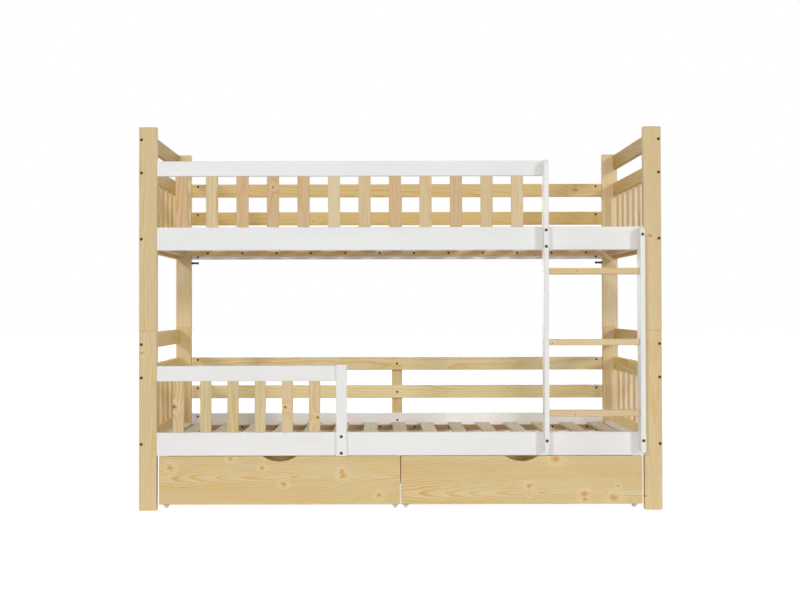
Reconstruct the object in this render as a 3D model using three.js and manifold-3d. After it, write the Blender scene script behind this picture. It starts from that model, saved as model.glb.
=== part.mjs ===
// A wooden bunk bed: two sleeping tiers between corner posts, a ladder, and two drawers on casters.
// Millimetres, +Z up. The long front, with the ladder, faces -Y; the origin is on the floor, under the
// middle of the whole bed, ladder included.
import * as THREE from "three";
import { mergeVertices } from "three/addons/utils/BufferGeometryUtils.js";
import Module from "manifold-3d";

// Overall size over the corner posts.
const bedLength = 2060;
const bedDepth = 980;
const bedHeight = 1510;

// Every butt joint keeps this gap between its two faces, as planed boards do.
const jointGap = 0.25;
// How far a cutting shape runs past the faces that it cuts through.
const cutOverrun = 1;
// How far boards that are glued into one panel run into each other.
const housingDepth = 8;

// Edge rounding of the planed boards: on their long edges, and round the free ends that show.
const edgeRound = 3;
const endRound = 2;
const cornerSteps = 1;
const endSteps = 2;

// Corner posts. Each rises a little past the end's top rail, and the upper one stands on the lower one.
const postWidth = 71;
const postThickness = 33;
const lowerPostRise = 8;
const upperPostRise = 5;

// Rails that run along the bed, flush with the outer faces of the posts.
const railThickness = 22;
const frontGuardThickness = 20;
const bedRailHeight = 91.5;
const bedRailBottom = 215;
const guardRailHeight = 60;
const guardRailTop = 567.5;
// The back has two guard rails, the lower one this far below the other.
const backGuardTop = 566;
const backGuardDrop = 130.5;

// Head and foot ends: a loose top rail, and a glued panel of two rails with pickets between them.
const endRailThickness = 21;
const endTopRailHeight = 65;
const endTopRailTop = 697.5;
const endPicketCount = 7;
const endPicketWidth = 60;

// Pickets of every panel are this thick; those of the front guards are this wide.
const picketThickness = 13;
const upperGuardPicketWidth = 48;
const lowerGuardPicketWidth = 44;
const upperGuardPicketCount = 12;
const lowerGuardPicketCount = 6;
// The lower guard covers only this much of the front, and ends at a post of its own.
const lowerGuardLength = 748;
const guardPostWidth = 42;
const guardPostThickness = 20;
const guardPostRise = 3;

// Batten that ties the back rails together at mid length.
const battenWidth = 48;
const battenThickness = 14;
const battenBottomRise = 30;

// Slat base: slats on cleats along the bed rails, and a painted slat along each end.
const cleatThickness = 20;
const cleatHeight = 22;
const cleatRise = 15;
const slatCount = 15;
const slatWidth = 60;
const slatThickness = 12;
const upperSlatEndSpace = 36.75;
const lowerSlatLeftSpace = 29;
const lowerSlatRightSpace = 15.5;
const slatEndGap = 1;
const endSlatWidth = 50;

// Ladder: two upright stiles in front of the rails, with rungs between them. The long stile ends just
// below the top of the upper guard, and the short one just below the top of the upper bed rail.
const stileThickness = 19;
const stileDepth = 70;
const stileBottomRise = 17;
const stilePostGap = 8;
const longStileDrop = 2.5;
const shortStileDrop = 6.5;
const stileTopRound = 22;
const stileTopSteps = 4;
const rungCount = 3;
const rungLength = 355;
const rungHeight = 25;
const rungDepth = 45;
const rungSetback = 17;
const lowestRungRise = 76.5;
const highestRungDrop = 85.5;

// Drawers: two side by side under the lower tier.
const drawerSideGap = 8.5;
const drawerMiddleGap = 3;
const drawerDepth = 800;
const drawerFrontThickness = 18;
const drawerFrontBottom = 24;
const drawerFrontTopGap = 2.4;
const drawerBoardThickness = 15;
const drawerSideInset = 14;
const drawerBoardHeight = 152;
const drawerBottomThickness = 6;
const drawerBottomRise = 8;
const fingerCutChord = 133;
const fingerCutDepth = 21;
const fingerCutSteps = 10;

// Casters: a forked plastic housing under each corner of a drawer, with a wheel that turns on its pin.
const wheelRadius = 18;
const wheelWidth = 12;
const wheelRimRound = 2;
const wheelBoreGap = 0.1;
const wheelSideGap = 0.6;
const wheelTopGap = 2.5;
const wheelSegments = 26;
const pinRadius = 2.5;
const pinSegments = 16;
const forkWidth = 22;
const forkLength = 44;
const forkBridgeThickness = 5;
const forkEyeRadius = 9;
const forkEyeSteps = 6;
const casterInset = 20;
const casterSetback = 70;

// Lines that several pieces share, worked out from the sizes above.
const wholeDepth = stileDepth + bedDepth + battenThickness;
const frontFace = stileDepth - wholeDepth / 2;
const backFace = frontFace + bedDepth;
const postInnerX = bedLength / 2 - postWidth;
const frontPostInnerY = frontFace + postThickness;
const backPostInnerY = backFace - postThickness;
const endInnerX = bedLength / 2 - endRailThickness;
const bedRailTop = bedRailBottom + bedRailHeight;
const guardRailBottom = guardRailTop - guardRailHeight;
const cleatBottom = bedRailBottom + cleatRise;
const slatBottom = cleatBottom + cleatHeight;
const slatTop = slatBottom + slatThickness;
const postSplitHeight = endTopRailTop + lowerPostRise;
// How far a piece of the upper tier lies above its twin in the lower tier.
const tierRise = bedHeight - upperPostRise - endTopRailTop;
const ladderRight = postInnerX - stilePostGap;
const ladderLeft = ladderRight - rungLength - stileThickness * 2;
const wheelAxleHeight = wheelRadius;
const forkBridgeBottom = wheelRadius + wheelTopGap;
const drawerBoxBottom = wheelAxleHeight + forkBridgeBottom + forkBridgeThickness + jointGap;
const drawerFrontTop = bedRailBottom - drawerFrontTopGap;

// The finishes, as colours of the whole board.
const naturalPine = { color: 0xd9c092, roughness: 0.55, metalness: 0 };
const whitePaint = { color: 0xe8e8e6, roughness: 0.4, metalness: 0 };
const drawerPine = { color: 0xe3c68f, roughness: 0.5, metalness: 0 };
const slatPine = { color: 0xbdb094, roughness: 0.7, metalness: 0 };
const whitePlastic = { color: 0xf0f0ee, roughness: 0.35, metalness: 0 };

const wasm = await Module();
wasm.setup();

// A closed geometry as a solid that can be joined and cut.
function solid(geometry) {
  const bare = geometry.clone();
  bare.deleteAttribute("normal");
  bare.deleteAttribute("uv");
  const merged = mergeVertices(bare);
  return new wasm.Manifold(
    new wasm.Mesh({
      numProp: 3,
      vertProperties: new Float32Array(merged.attributes.position.array),
      triVerts: new Uint32Array(merged.index.array),
    }),
  );
}

// A solid as a geometry again, with flat faces.
function geometryOf(body) {
  const mesh = body.getMesh();
  const geometry = new THREE.BufferGeometry();
  geometry.setAttribute("position", new THREE.BufferAttribute(mesh.vertProperties, mesh.numProp));
  geometry.setIndex(new THREE.BufferAttribute(mesh.triVerts, 1));
  const flat = geometry.toNonIndexed();
  flat.computeVertexNormals();
  return flat;
}

// Several geometries joined into one.
function joined(geometries) {
  return geometryOf(geometries.map(solid).reduce((whole, piece) => whole.add(piece)));
}

// A rectangle from (left, low) to (right, high) with rounded corners, the upper left one maybe more so.
function roundedRectangle(left, right, low, high, radius, upperLeft = radius) {
  const shape = new THREE.Shape();
  shape.moveTo(left + radius, low);
  shape.lineTo(right - radius, low);
  shape.absarc(right - radius, low + radius, radius, -Math.PI / 2, 0, false);
  shape.lineTo(right, high - radius);
  shape.absarc(right - radius, high - radius, radius, 0, Math.PI / 2, false);
  shape.lineTo(left + upperLeft, high);
  shape.absarc(left + upperLeft, high - upperLeft, upperLeft, Math.PI / 2, Math.PI, false);
  shape.lineTo(left, low + radius);
  shape.absarc(left + radius, low + radius, radius, Math.PI, Math.PI * 1.5, false);
  return shape;
}

// For a board along an axis: the axes of its section, in the order that keeps the board right-handed.
const sectionAxes = { x: ["y", "z"], y: ["z", "x"], z: ["x", "y"] };
const unit = {
  x: new THREE.Vector3(1, 0, 0),
  y: new THREE.Vector3(0, 1, 0),
  z: new THREE.Vector3(0, 0, 1),
};

// Turns a shape drawn across an axis, and extruded, so that the extrusion runs along that axis.
function turnAlong(geometry, along) {
  const [across, up] = sectionAxes[along];
  return geometry.applyMatrix4(new THREE.Matrix4().makeBasis(unit[across], unit[up], unit[along]));
}

// Extrudes a shape from one place to another along an axis, with its two end outlines rounded off.
function extrudeAlong(shape, along, from, to, rounding = 0, steps = cornerSteps) {
  const geometry = new THREE.ExtrudeGeometry(shape, {
    depth: to - from - rounding * 2,
    steps: 1,
    curveSegments: steps,
    bevelEnabled: rounding > 0,
    bevelThickness: rounding,
    bevelSize: rounding,
    bevelOffset: -rounding,
    bevelSegments: endSteps,
  });
  geometry.translate(0, 0, from + rounding);
  return turnAlong(geometry, along);
}

// A planed board that fills the given spans, its grain along one axis, its long edges rounded.
function board(along, spans, ends = 0) {
  const [across, up] = sectionAxes[along];
  const shape = roundedRectangle(...spans[across], ...spans[up], edgeRound);
  return extrudeAlong(shape, along, ...spans[along], ends);
}

// A span given by its middle and its size.
function around(middle, size) {
  return [middle - size / 2, middle + size / 2];
}

// A span that keeps the joint gap to the faces at both of its ends.
function between(from, to) {
  return [from + jointGap, to - jointGap];
}

// The middles of boards of one width, spread so that every gap between two faces is the same.
function evenMiddles(from, to, count, width) {
  const gap = (to - from - count * width) / (count + 1);
  return Array.from({ length: count }, (_, i) => from + gap + width / 2 + i * (gap + width));
}

// Adds a named mesh to a group.
function add(group, name, geometry, finish) {
  const mesh = new THREE.Mesh(geometry, new THREE.MeshStandardMaterial(finish));
  mesh.name = name;
  group.add(mesh);
  return mesh;
}

const bunkBed = new THREE.Group();

// Spans that many pieces share.
const frontRailY = [frontFace, frontFace + railThickness];
const frontGuardY = [frontFace, frontFace + frontGuardThickness];
const backRailY = [backFace - railThickness, backFace];
const betweenPostsX = between(-postInnerX, postInnerX);
const betweenPostsY = between(frontPostInnerY, backPostInnerY);

// Corner posts: each corner has a lower post and an upper one that stands on it.
function addPosts() {
  const reaches = { lower: [0, postSplitHeight], upper: [postSplitHeight + jointGap, bedHeight] };
  const sides = { left: -1, right: 1 };
  const rows = {
    front: [frontFace, frontPostInnerY],
    back: [backPostInnerY, backFace],
  };
  for (const [tier, reach] of Object.entries(reaches)) {
    for (const [row, depth] of Object.entries(rows)) {
      for (const [side, sign] of Object.entries(sides)) {
        const spans = {
          x: around((sign * (bedLength - postWidth)) / 2, postWidth),
          y: depth,
          z: reach,
        };
        add(bunkBed, `${tier}_${row}_${side}_post`, board("z", spans, endRound), naturalPine);
      }
    }
  }
}

// Head or foot end of a tier: a top rail, and the panel whose pickets are housed in two rails.
function addEnd(group, tier, side, sign) {
  const railX = around(sign * (bedLength / 2 - endRailThickness / 2), endRailThickness);
  const topRail = { x: railX, y: betweenPostsY, z: [endTopRailTop - endTopRailHeight, endTopRailTop] };
  add(group, `${tier}_${side}_end_top_rail`, board("y", topRail), naturalPine);

  const rails = [
    board("y", { x: railX, y: betweenPostsY, z: [guardRailBottom, guardRailTop] }),
    board("y", { x: railX, y: betweenPostsY, z: [bedRailBottom, bedRailTop] }),
  ];
  const picketX = around(sign * (bedLength / 2 - endRailThickness / 2), picketThickness);
  const picketZ = [bedRailTop - housingDepth, guardRailBottom + housingDepth];
  const middles = evenMiddles(frontPostInnerY, backPostInnerY, endPicketCount, endPicketWidth);
  const pickets = middles.map((middle) =>
    board("z", { x: picketX, y: around(middle, endPicketWidth), z: picketZ }),
  );
  add(group, `${tier}_${side}_end_panel`, joined([...rails, ...pickets]), naturalPine);
}

// Painted slat along an end, on a cleat that is screwed to the end's bottom rail.
function addEndSlat(group, tier, side, sign) {
  const outer = endInnerX - jointGap;
  const spanOf = (width) => (sign > 0 ? [outer - width, outer] : [-outer, width - outer]);
  const slat = { x: spanOf(endSlatWidth), y: betweenPostsY, z: [slatBottom, slatTop] };
  const cleat = { x: spanOf(cleatThickness), y: betweenPostsY, z: [cleatBottom, slatBottom + edgeRound] };
  const name = `${tier}_${side}_end_slat`;
  add(group, name, joined([board("y", slat), board("y", cleat)]), whitePaint);
}

// Slat base: a cleat along each bed rail, with the slats laid across and screwed down.
function addSlatBase(group, tier) {
  const frontInner = frontFace + railThickness + jointGap;
  const backInner = backFace - railThickness - jointGap;
  const cleatZ = [cleatBottom, slatBottom + edgeRound];
  const cleats = [
    board("x", { x: betweenPostsX, y: [frontInner, frontInner + cleatThickness], z: cleatZ }),
    board("x", { x: betweenPostsX, y: [backInner - cleatThickness, backInner], z: cleatZ }),
  ];
  const reach = endInnerX - jointGap - endSlatWidth - slatWidth / 2;
  const spaces = {
    lower: [lowerSlatLeftSpace, lowerSlatRightSpace],
    upper: [upperSlatEndSpace, upperSlatEndSpace],
  };
  const [leftSpace, rightSpace] = spaces[tier];
  const [first, last] = [leftSpace - reach, reach - rightSpace];
  const slats = Array.from({ length: slatCount }, (_, i) => {
    const spans = {
      x: around(first + ((last - first) * i) / (slatCount - 1), slatWidth),
      y: [frontInner + slatEndGap, backInner - slatEndGap],
      z: [slatBottom, slatTop],
    };
    return board("y", spans);
  });
  add(group, `${tier}_slat_base`, joined([...cleats, ...slats]), slatPine);
}

// Back of a tier: two guard rails above the bed rail, tied by a batten behind them.
function addBack(group, tier) {
  const levels = { high: backGuardTop, low: backGuardTop - backGuardDrop };
  for (const [level, top] of Object.entries(levels)) {
    const spans = { x: betweenPostsX, y: backRailY, z: [top - guardRailHeight, top] };
    add(group, `${tier}_back_guard_rail_${level}`, board("x", spans), naturalPine);
  }
  const batten = {
    x: around(0, battenWidth),
    y: [backFace + jointGap, backFace + battenThickness],
    z: [bedRailBottom + battenBottomRise, backGuardTop],
  };
  add(group, `${tier}_back_batten`, board("z", batten, endRound), naturalPine);
}

// Everything that both tiers have alike, at the height of the lower one.
function addTier(tier) {
  const group = new THREE.Group();
  for (const [row, depth] of Object.entries({ front: frontRailY, back: backRailY })) {
    const spans = { x: betweenPostsX, y: depth, z: [bedRailBottom, bedRailTop] };
    add(group, `${tier}_${row}_bed_rail`, board("x", spans), whitePaint);
  }
  for (const [side, sign] of Object.entries({ left: -1, right: 1 })) {
    addEnd(group, tier, side, sign);
    addEndSlat(group, tier, side, sign);
  }
  addSlatBase(group, tier);
  addBack(group, tier);
  bunkBed.add(group);
  return group;
}

// Front guard: a top rail with pickets housed in its underside, standing on the bed rail.
function addFrontGuard(group, name, railX, picketReach, count, picketWidth) {
  const rail = board("x", { x: railX, y: frontGuardY, z: [guardRailBottom, guardRailTop] });
  const picketY = around(frontFace + frontGuardThickness / 2, picketThickness);
  const picketZ = [bedRailTop + jointGap, guardRailBottom + housingDepth];
  const pickets = evenMiddles(...picketReach, count, picketWidth).map((middle) =>
    board("z", { x: around(middle, picketWidth), y: picketY, z: picketZ }),
  );
  add(group, name, joined([rail, ...pickets]), whitePaint);
}

// The upper guard runs from the left post to the ladder, the lower one to a short post of its own.
function addFrontGuards(lowerTier, upperTier) {
  const start = -postInnerX + jointGap;
  const upperEnd = ladderLeft + stileThickness;
  addFrontGuard(
    upperTier,
    "upper_front_guard",
    [start, upperEnd],
    [-postInnerX, ladderLeft],
    upperGuardPicketCount,
    upperGuardPicketWidth,
  );

  const lowerEnd = -postInnerX + lowerGuardLength;
  addFrontGuard(
    lowerTier,
    "lower_front_guard",
    [start, lowerEnd],
    [-postInnerX, lowerEnd - guardPostWidth],
    lowerGuardPicketCount,
    lowerGuardPicketWidth,
  );
  const guardPost = {
    x: [lowerEnd - guardPostWidth, lowerEnd],
    y: [frontFace - guardPostThickness, frontFace - jointGap],
    z: [bedRailBottom, guardRailTop + guardPostRise],
  };
  add(lowerTier, "lower_guard_end_post", board("z", guardPost, endRound), whitePaint);
}

// Ladder: the left stile also ends the upper guard, so it is the longer one. Their front top corners
// are well rounded.
function addLadder() {
  const ladder = new THREE.Group();
  const stileY = [frontFace - stileDepth, frontFace - jointGap];
  const stileBottom = bedRailBottom + stileBottomRise;
  const stiles = {
    left: { from: ladderLeft, top: guardRailTop + tierRise - longStileDrop },
    right: { from: ladderRight - stileThickness, top: bedRailTop + tierRise - shortStileDrop },
  };
  for (const [side, { from, top }] of Object.entries(stiles)) {
    const outline = roundedRectangle(...stileY, stileBottom, top, edgeRound, stileTopRound);
    const to = from + stileThickness;
    const stile = extrudeAlong(outline, "x", from, to, endRound, stileTopSteps);
    add(ladder, `ladder_${side}_stile`, stile, whitePaint);
  }
  const rungFront = frontFace - stileDepth + rungSetback;
  const rungY = [rungFront, rungFront + rungDepth];
  const rungX = between(ladderLeft + stileThickness, ladderRight - stileThickness);
  const lowest = bedRailTop + lowestRungRise;
  const highest = bedRailBottom + tierRise - highestRungDrop;
  for (let i = 0; i < rungCount; i += 1) {
    const rungZ = around(lowest + ((highest - lowest) * i) / (rungCount - 1), rungHeight);
    add(ladder, `ladder_rung_${i + 1}`, board("x", { x: rungX, y: rungY, z: rungZ }), naturalPine);
  }
  bunkBed.add(ladder);
}

// Drawer front, drawn about the drawer's middle: a board with an arched finger cut-out in its top edge.
function drawerFront(width) {
  const top = drawerFrontTop;
  const halfChord = fingerCutChord / 2;
  const radius = (halfChord ** 2 + fingerCutDepth ** 2) / (fingerCutDepth * 2);
  const centre = top - fingerCutDepth + radius;
  const halfAngle = Math.asin(halfChord / radius);
  const shape = new THREE.Shape();
  shape.moveTo(-width / 2, drawerFrontBottom);
  shape.lineTo(width / 2, drawerFrontBottom);
  shape.lineTo(width / 2, top);
  shape.lineTo(halfChord, top);
  shape.absarc(0, centre, radius, -Math.PI / 2 + halfAngle, -Math.PI / 2 - halfAngle, true);
  shape.lineTo(-width / 2, top);
  shape.closePath();
  // The outline is drawn with X across and Z up, so the extrusion turns to run along -Y.
  const geometry = new THREE.ExtrudeGeometry(shape, {
    depth: drawerFrontThickness - endRound * 2,
    steps: 1,
    curveSegments: fingerCutSteps,
    bevelThickness: endRound,
    bevelSize: endRound,
    bevelOffset: -endRound,
    bevelSegments: endSteps,
  });
  geometry.translate(0, 0, endRound);
  geometry.rotateX(Math.PI / 2);
  geometry.translate(0, frontFace + drawerFrontThickness, 0);
  return geometry;
}

// Drawer box behind the front: two sides, a back, and a bottom housed in all three.
function drawerBox(width) {
  const sideMiddle = width / 2 - drawerSideInset;
  const boxY = [frontFace + drawerFrontThickness + jointGap, frontFace + drawerDepth];
  const boxZ = [drawerBoxBottom, drawerBoxBottom + drawerBoardHeight];
  const sides = [-sideMiddle, sideMiddle].map((middle) =>
    board("y", { x: around(middle, drawerBoardThickness), y: boxY, z: boxZ }, endRound),
  );
  const innerX = sideMiddle - drawerBoardThickness / 2;
  const backY = [boxY[1] - endRound - drawerBoardThickness, boxY[1] - endRound];
  const back = board("x", { x: [-innerX - housingDepth, innerX + housingDepth], y: backY, z: boxZ });
  const bottomZ = drawerBoxBottom + drawerBottomRise;
  const bottom = new THREE.BoxGeometry(
    (innerX + housingDepth) * 2,
    backY[0] + housingDepth - boxY[0],
    drawerBottomThickness,
  );
  bottom.translate(0, (boxY[0] + backY[0] + housingDepth) / 2, bottomZ + drawerBottomThickness / 2);
  return joined([...sides, back, bottom]);
}

// Caster housing, drawn about its wheel's axle: a bridge, two cheeks that taper to an eye, and the pin.
function casterHousing() {
  const cheekThickness = (forkWidth - wheelWidth) / 2 - wheelSideGap;
  const bridge = board("y", {
    x: around(0, forkWidth),
    y: around(0, forkLength),
    z: [forkBridgeBottom - edgeRound, forkBridgeBottom + forkBridgeThickness],
  });
  const slot = new THREE.BoxGeometry(
    forkWidth - cheekThickness * 2,
    forkLength + cutOverrun * 2,
    forkBridgeBottom * 2,
  );

  // The straight edges of a cheek run from the bridge's ends and touch the eye.
  const cornerY = forkLength / 2 - edgeRound;
  const cornerAngle = Math.atan2(forkBridgeBottom, cornerY);
  const touchAngle = cornerAngle - Math.acos(forkEyeRadius / Math.hypot(cornerY, forkBridgeBottom));
  const outline = new THREE.Shape();
  outline.moveTo(cornerY, forkBridgeBottom);
  outline.lineTo(-cornerY, forkBridgeBottom);
  outline.absarc(0, 0, forkEyeRadius, Math.PI - touchAngle, touchAngle, false);
  outline.closePath();
  const cheeks = [-1, 1].map((sign) => {
    const outer = (sign * forkWidth) / 2;
    const inner = outer - sign * cheekThickness;
    return extrudeAlong(outline, "x", Math.min(outer, inner), Math.max(outer, inner), 0, forkEyeSteps);
  });
  const pin = new THREE.CylinderGeometry(pinRadius, pinRadius, forkWidth - cheekThickness, pinSegments);
  pin.rotateZ(Math.PI / 2);
  const body = solid(bridge).subtract(solid(slot));
  return geometryOf([...cheeks, pin].map(solid).reduce((whole, piece) => whole.add(piece), body));
}

// Caster wheel, drawn about its axle: a ring with a rounded rim, bored to turn on the pin.
function casterWheel() {
  const bore = pinRadius + wheelBoreGap;
  const half = wheelWidth / 2;
  const profile = [
    new THREE.Vector2(bore, -half),
    new THREE.Vector2(wheelRadius - wheelRimRound, -half),
    new THREE.Vector2(wheelRadius, -half + wheelRimRound),
    new THREE.Vector2(wheelRadius, half - wheelRimRound),
    new THREE.Vector2(wheelRadius - wheelRimRound, half),
    new THREE.Vector2(bore, half),
    new THREE.Vector2(bore, -half),
  ];
  const wheel = new THREE.LatheGeometry(profile, wheelSegments);
  wheel.rotateZ(-Math.PI / 2);
  return wheel;
}

// One drawer, with a caster under each corner of its box.
function addDrawer(side, sign) {
  const width = postInnerX - drawerSideGap - drawerMiddleGap / 2;
  const drawer = new THREE.Group();
  drawer.position.x = (sign * (drawerMiddleGap + width)) / 2;
  add(drawer, `${side}_drawer_front`, drawerFront(width), drawerPine);
  add(drawer, `${side}_drawer_box`, drawerBox(width), drawerPine);

  const places = {
    front_left: [-1, frontFace + casterSetback],
    front_right: [1, frontFace + casterSetback],
    back_left: [-1, frontFace + drawerDepth - casterSetback],
    back_right: [1, frontFace + drawerDepth - casterSetback],
  };
  for (const [place, [hand, y]] of Object.entries(places)) {
    const caster = new THREE.Group();
    caster.position.set(hand * (width / 2 - casterInset), y, wheelAxleHeight);
    add(caster, `${side}_drawer_${place}_caster`, casterHousing(), whitePlastic);
    add(caster, `${side}_drawer_${place}_wheel`, casterWheel(), whitePlastic);
    drawer.add(caster);
  }
  bunkBed.add(drawer);
}

addPosts();
const lowerTier = addTier("lower");
const upperTier = addTier("upper");
upperTier.position.z = tierRise;
addFrontGuards(lowerTier, upperTier);
addLadder();
addDrawer("left", -1);
addDrawer("right", 1);

export default bunkBed;
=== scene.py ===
# %% [markdown]
# # A pine and white bunk bed
# The bed is bolted together from planed boards: corner posts, rails, picket panels, slats, a ladder and
# two drawers on casters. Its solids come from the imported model, which is loaded first and never moved.
# Each board is then drawn again with softer edges and with grain of its own, because two boards that share
# one pattern are the first thing that looks wrong on a wooden object.

import math
import zlib

import bpy
import numpy as np
from mathutils import Matrix, Vector


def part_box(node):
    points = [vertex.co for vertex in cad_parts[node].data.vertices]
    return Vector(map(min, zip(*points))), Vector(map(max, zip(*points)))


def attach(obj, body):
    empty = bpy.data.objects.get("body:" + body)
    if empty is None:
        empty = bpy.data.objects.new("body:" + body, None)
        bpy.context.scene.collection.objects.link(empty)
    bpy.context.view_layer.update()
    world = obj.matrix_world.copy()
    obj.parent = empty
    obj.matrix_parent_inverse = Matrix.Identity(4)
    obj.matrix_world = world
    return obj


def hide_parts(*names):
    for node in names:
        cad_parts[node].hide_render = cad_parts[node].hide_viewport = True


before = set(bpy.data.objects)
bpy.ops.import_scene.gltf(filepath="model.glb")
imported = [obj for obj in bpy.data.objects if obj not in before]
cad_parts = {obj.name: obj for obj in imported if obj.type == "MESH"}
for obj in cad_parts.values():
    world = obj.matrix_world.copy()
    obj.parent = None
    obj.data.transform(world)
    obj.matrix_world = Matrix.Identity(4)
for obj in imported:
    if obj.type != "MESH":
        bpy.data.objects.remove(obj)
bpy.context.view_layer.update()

# %% [markdown]
# ## Camera
# The picture was taken from the front, a little left of the middle and at about half the bed's height, with
# a long lens. The lens shift moves the frame without turning the camera, so upright edges stay upright.

# %% Camera
PICTURE_WIDTH = 800
SENSOR_WIDTH = 36.0
FOCAL_PIXELS = 1310.5
CAMERA_PLACE = (-0.0842, -5.6208, 0.7941)
CAMERA_PITCH = math.radians(0.958)
CAMERA_ROLL = math.radians(-0.116)
FRAME_SHIFT = (0.02637, -0.01717)


def new_object(name, data):
    """An object in the scene, at the origin."""
    made = bpy.data.objects.new(name, data)
    bpy.context.scene.collection.objects.link(made)
    return made


camera_data = bpy.data.cameras.new("camera")
camera_data.sensor_width = SENSOR_WIDTH
camera_data.lens = FOCAL_PIXELS * SENSOR_WIDTH / PICTURE_WIDTH
camera_data.shift_x, camera_data.shift_y = FRAME_SHIFT
camera = new_object("camera", camera_data)
look = Matrix.Rotation(math.pi / 2 + CAMERA_PITCH, 4, "X") @ Matrix.Rotation(CAMERA_ROLL, 4, "Z")
camera.matrix_world = Matrix.Translation(CAMERA_PLACE) @ look
bpy.context.scene.camera = camera
bpy.context.scene.view_settings.view_transform = "Standard"
print("lens", round(camera_data.lens, 2), "mm")

# %% [markdown]
# ## A shorthand for shader nodes
# A material is a graph: each node takes numbers, colours or other nodes' results. These helpers add one node
# each and connect what they are given, so that a finish can be read from top to bottom like a recipe.

# %% Node helpers
def linear(red, green, blue):
    """A screen colour from 0 to 255 as the light values that shaders work in (the standard sRGB curve)."""
    share = np.array([red, green, blue]) / 255.0
    return np.where(share <= 0.04045, share / 12.92, ((share + 0.055) / 1.055) ** 2.4)


def colour(red, green, blue):
    """The same, as the four numbers that a colour socket takes."""
    return (*linear(red, green, blue), 1.0)


def join(tree, value, socket):
    """Links a result to a socket, or sets the socket to a plain value."""
    if isinstance(value, bpy.types.NodeSocket):
        tree.links.new(value, socket)
    else:
        socket.default_value = value


def node(tree, kind, inputs=None, **settings):
    """Adds a node of one kind, with its settings and its inputs, which go by name or by number."""
    made = tree.nodes.new(kind)
    for name, value in settings.items():
        setattr(made, name, value)
    for name, value in (inputs or {}).items():
        join(tree, value, made.inputs[name])
    return made


def carried(tree, name, part="Fac"):
    """What a board carries under a name, such as its grain, its tone or how near it is to an edge."""
    return node(tree, "ShaderNodeAttribute", attribute_name=name).outputs[part]


def calc(tree, operation, *values, use_clamp=False):
    """The result of a Math node."""
    inputs = dict(enumerate(values))
    return node(tree, "ShaderNodeMath", inputs, operation=operation, use_clamp=use_clamp).outputs[0]


def plus(tree, first, second):
    """A sum."""
    return calc(tree, "ADD", first, second)


def times(tree, first, second):
    """A product."""
    return calc(tree, "MULTIPLY", first, second)


def smooth(tree, value, low, high, start=0.0, end=1.0):
    """Goes softly from start to end as value goes from low to high."""
    inputs = {"Value": value, "From Min": low, "From Max": high, "To Min": start, "To Max": end}
    made = node(tree, "ShaderNodeMapRange", inputs, interpolation_type="SMOOTHSTEP")
    return made.outputs["Result"]


def mix(tree, factor, first, second, way="MIX"):
    """Two colours mixed; way says how, such as MIX or MULTIPLY."""
    inputs = {0: factor, 6: first, 7: second}
    return node(tree, "ShaderNodeMix", inputs, data_type="RGBA", blend_type=way).outputs[2]


def stained(tree, factor, base, stain):
    """A colour multiplied by a stain, as far as the factor says."""
    return mix(tree, factor, base, (*stain, 1.0), "MULTIPLY")


def stretched(tree, vector, scale):
    """A vector with each of its three parts multiplied."""
    return node(tree, "ShaderNodeVectorMath", {0: vector, 1: scale}, operation="MULTIPLY").outputs[0]


def noise(tree, vector, scale, detail=2.0):
    """Soft noise from 0 to 1, mostly near one half."""
    inputs = {"Vector": vector, "Scale": scale, "Detail": detail}
    return node(tree, "ShaderNodeTexNoise", inputs).outputs[0]


def new_material(name):
    """An empty node material: its tree and its main shader."""
    material = bpy.data.materials.new(name)
    material.use_nodes = True
    return material, material.node_tree, material.node_tree.nodes["Principled BSDF"]


def connect(tree, shader, base, relief, strength, depth, roughness):
    """Gives the main shader its colour, a relief whose depth is in metres, and its roughness."""
    bump = node(tree, "ShaderNodeBump", {"Height": relief, "Strength": strength, "Distance": depth})
    join(tree, base, shader.inputs["Base Color"])
    join(tree, bump.outputs[0], shader.inputs["Normal"])
    join(tree, roughness, shader.inputs["Roughness"])


# %% [markdown]
# ## Pine
# A board is a slice of a log. Growth rings are shells round the log's middle, so the pattern on every face
# follows from one rule: the distance to that middle, counted in ring widths. Each board carries its own place
# in its own log, as an attribute with three parts: along the grain, across it, and through the board.
# A knot is a branch that the rings flow round, so the distance is pushed out near each knot, and the knot
# itself is a brown disc with a darker heart and a pale halo.

# %% Pine
RING_WIDTH = 0.0085
KNOT_GRID = 0.3
KNOT_LEAST, KNOT_MOST = 0.003, 0.008
KNOT_WIDENING = 1.25
FAR_OFF = 50.0
RIPPLE_SHARE = 0.31
KNOT_BULGE = 0.02


def scattered_knots(tree, grain, share):
    """Distance to the nearest random knot, in knot radii. Only a share of the cells has a knot."""
    flat = stretched(tree, grain, (1.0, 1.35, 0.0))
    inputs = {"Vector": flat, "Scale": 1.0 / KNOT_GRID}
    cells = node(tree, "ShaderNodeTexVoronoi", inputs, voronoi_dimensions="2D")
    chance = node(tree, "ShaderNodeSeparateColor", {"Color": cells.outputs["Color"]})
    metres = times(tree, cells.outputs["Distance"], KNOT_GRID)
    radius = smooth(tree, chance.outputs[1], 0.0, 1.0, KNOT_LEAST, KNOT_MOST)
    radii = calc(tree, "DIVIDE", metres, radius)
    absent = times(tree, calc(tree, "GREATER_THAN", chance.outputs[0], share), FAR_OFF)
    return plus(tree, radii, absent)


def knot_at(tree, x, z, radius):
    """Distance to a knot at x and z on the bed's front, in knot radii. A knot is a little wider than high."""
    point = node(tree, "ShaderNodeTexCoord").outputs["Object"]
    parts = node(tree, "ShaderNodeSeparateXYZ", {"Vector": point})
    wide = times(tree, radius, KNOT_WIDENING)
    aside = calc(tree, "DIVIDE", calc(tree, "SUBTRACT", parts.outputs["X"], x), wide)
    above = calc(tree, "DIVIDE", calc(tree, "SUBTRACT", parts.outputs["Z"], z), radius)
    squares = plus(tree, times(tree, aside, aside), times(tree, above, above))
    return calc(tree, "SQRT", squares)


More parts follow.
